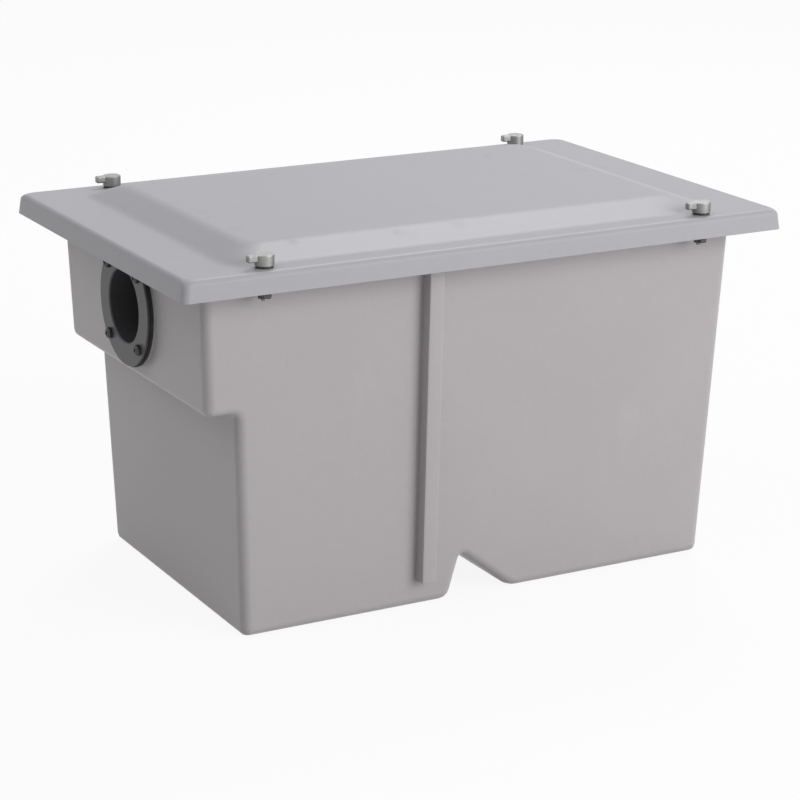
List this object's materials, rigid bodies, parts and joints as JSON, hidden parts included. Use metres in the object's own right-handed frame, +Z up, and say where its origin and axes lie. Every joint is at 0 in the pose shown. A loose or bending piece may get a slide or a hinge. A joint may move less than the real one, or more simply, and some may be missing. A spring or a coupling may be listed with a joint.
{
  "type": "grease trap",
  "caption": "Floor-standing moulded grease trap: stepped tank, bolted lid with a raised centre, flanged inlet and outlet sockets, baffle, strainer basket and dipping outlet pipe.",
  "frame": {"origin": "on the floor, under the middle of the tank's lid", "axes": "+X along the length from the inlet end to the outlet end, +Y to the back, +Z up"},
  "size_m": [0.5404, 0.3494, 0.3178],
  "materials": {
    "moulded_resin": "satin light grey resin",
    "lid_resin": "satin light grey resin",
    "baffle_board": "smooth light grey plate",
    "grey_pipe_plastic": "satin dark grey pipe plastic",
    "down_pipe_plastic": "satin grey pipe plastic",
    "black_rubber": "matte black rubber",
    "stainless_steel": "plain stainless steel",
    "lever_steel": "cast stainless steel, tumbled",
    "screw_steel": "dark blackened steel",
    "punched_sheet": "bright stainless sheet"
  },
  "bodies": {
    "trap": {"tank": "moulded_resin", "flange_washer_1": "stainless_steel", "flange_washer_2": "stainless_steel", "flange_washer_3": "stainless_steel", "flange_washer_4": "stainless_steel", "flange_nut_1": "stainless_steel", "flange_nut_2": "stainless_steel", "flange_nut_3": "stainless_steel", "flange_nut_4": "stainless_steel", "inlet_socket": "grey_pipe_plastic", "inlet_gasket": "black_rubber", "inlet_screw_1": "screw_steel", "inlet_screw_2": "screw_steel", "inlet_screw_3": "screw_steel", "inlet_screw_4": "screw_steel", "inlet_nut_1": "stainless_steel", "inlet_nut_2": "stainless_steel", "inlet_nut_3": "stainless_steel", "inlet_nut_4": "stainless_steel", "outlet_socket": "grey_pipe_plastic", "outlet_gasket": "black_rubber", "outlet_screw_1": "screw_steel", "outlet_screw_2": "screw_steel", "outlet_screw_3": "screw_steel", "outlet_screw_4": "screw_steel", "outlet_nut_1": "stainless_steel", "outlet_nut_2": "stainless_steel", "outlet_nut_3": "stainless_steel", "outlet_nut_4": "stainless_steel", "trap_tee": "grey_pipe_plastic", "down_pipe": "down_pipe_plastic", "trap_cap": "grey_pipe_plastic", "baffle_plate": "baffle_board", "basket_rest": "punched_sheet", "rest_rivet_1": "punched_sheet", "rest_rivet_2": "punched_sheet", "basket": "punched_sheet"},
    "cover": {"lid": "lid_resin", "lid_gasket": "black_rubber", "lid_washer_1": "stainless_steel", "lid_washer_2": "stainless_steel", "lid_washer_3": "stainless_steel", "lid_washer_4": "stainless_steel"},
    "bolt_1": {"lever_bolt_1": "lever_steel"},
    "bolt_2": {"lever_bolt_2": "lever_steel"},
    "bolt_3": {"lever_bolt_3": "lever_steel"},
    "bolt_4": {"lever_bolt_4": "lever_steel"},
    "bail": {"basket_handle": "stainless_steel"}
  },
  "joints": [
    {"name": "lid_lift", "type": "slide", "parent": "trap", "child": "cover", "axis": [0, 0, 1], "range_m": [0, 0.15]},
    {"name": "lever_bolt_1_turn", "type": "hinge", "parent": "cover", "child": "bolt_1", "pos_m": [-0.18975, 0.1585, 0.3088], "axis": [0, 0, 1], "continuous": true},
    {"name": "lever_bolt_2_turn", "type": "hinge", "parent": "cover", "child": "bolt_2", "pos_m": [0.21165, 0.1585, 0.3088], "axis": [0, 0, 1], "continuous": true},
    {"name": "lever_bolt_3_turn", "type": "hinge", "parent": "cover", "child": "bolt_3", "pos_m": [-0.19645, -0.1585, 0.3088], "axis": [0, 0, 1], "continuous": true},
    {"name": "lever_bolt_4_turn", "type": "hinge", "parent": "cover", "child": "bolt_4", "pos_m": [0.19925, -0.1585, 0.3088], "axis": [0, 0, 1], "continuous": true},
    {"name": "bail_swing", "type": "hinge", "parent": "trap", "child": "bail", "pos_m": [-0.13542, 0, 0.1982], "axis": [0, -1, 0], "range_deg": [0, 175.5]}
  ]
}
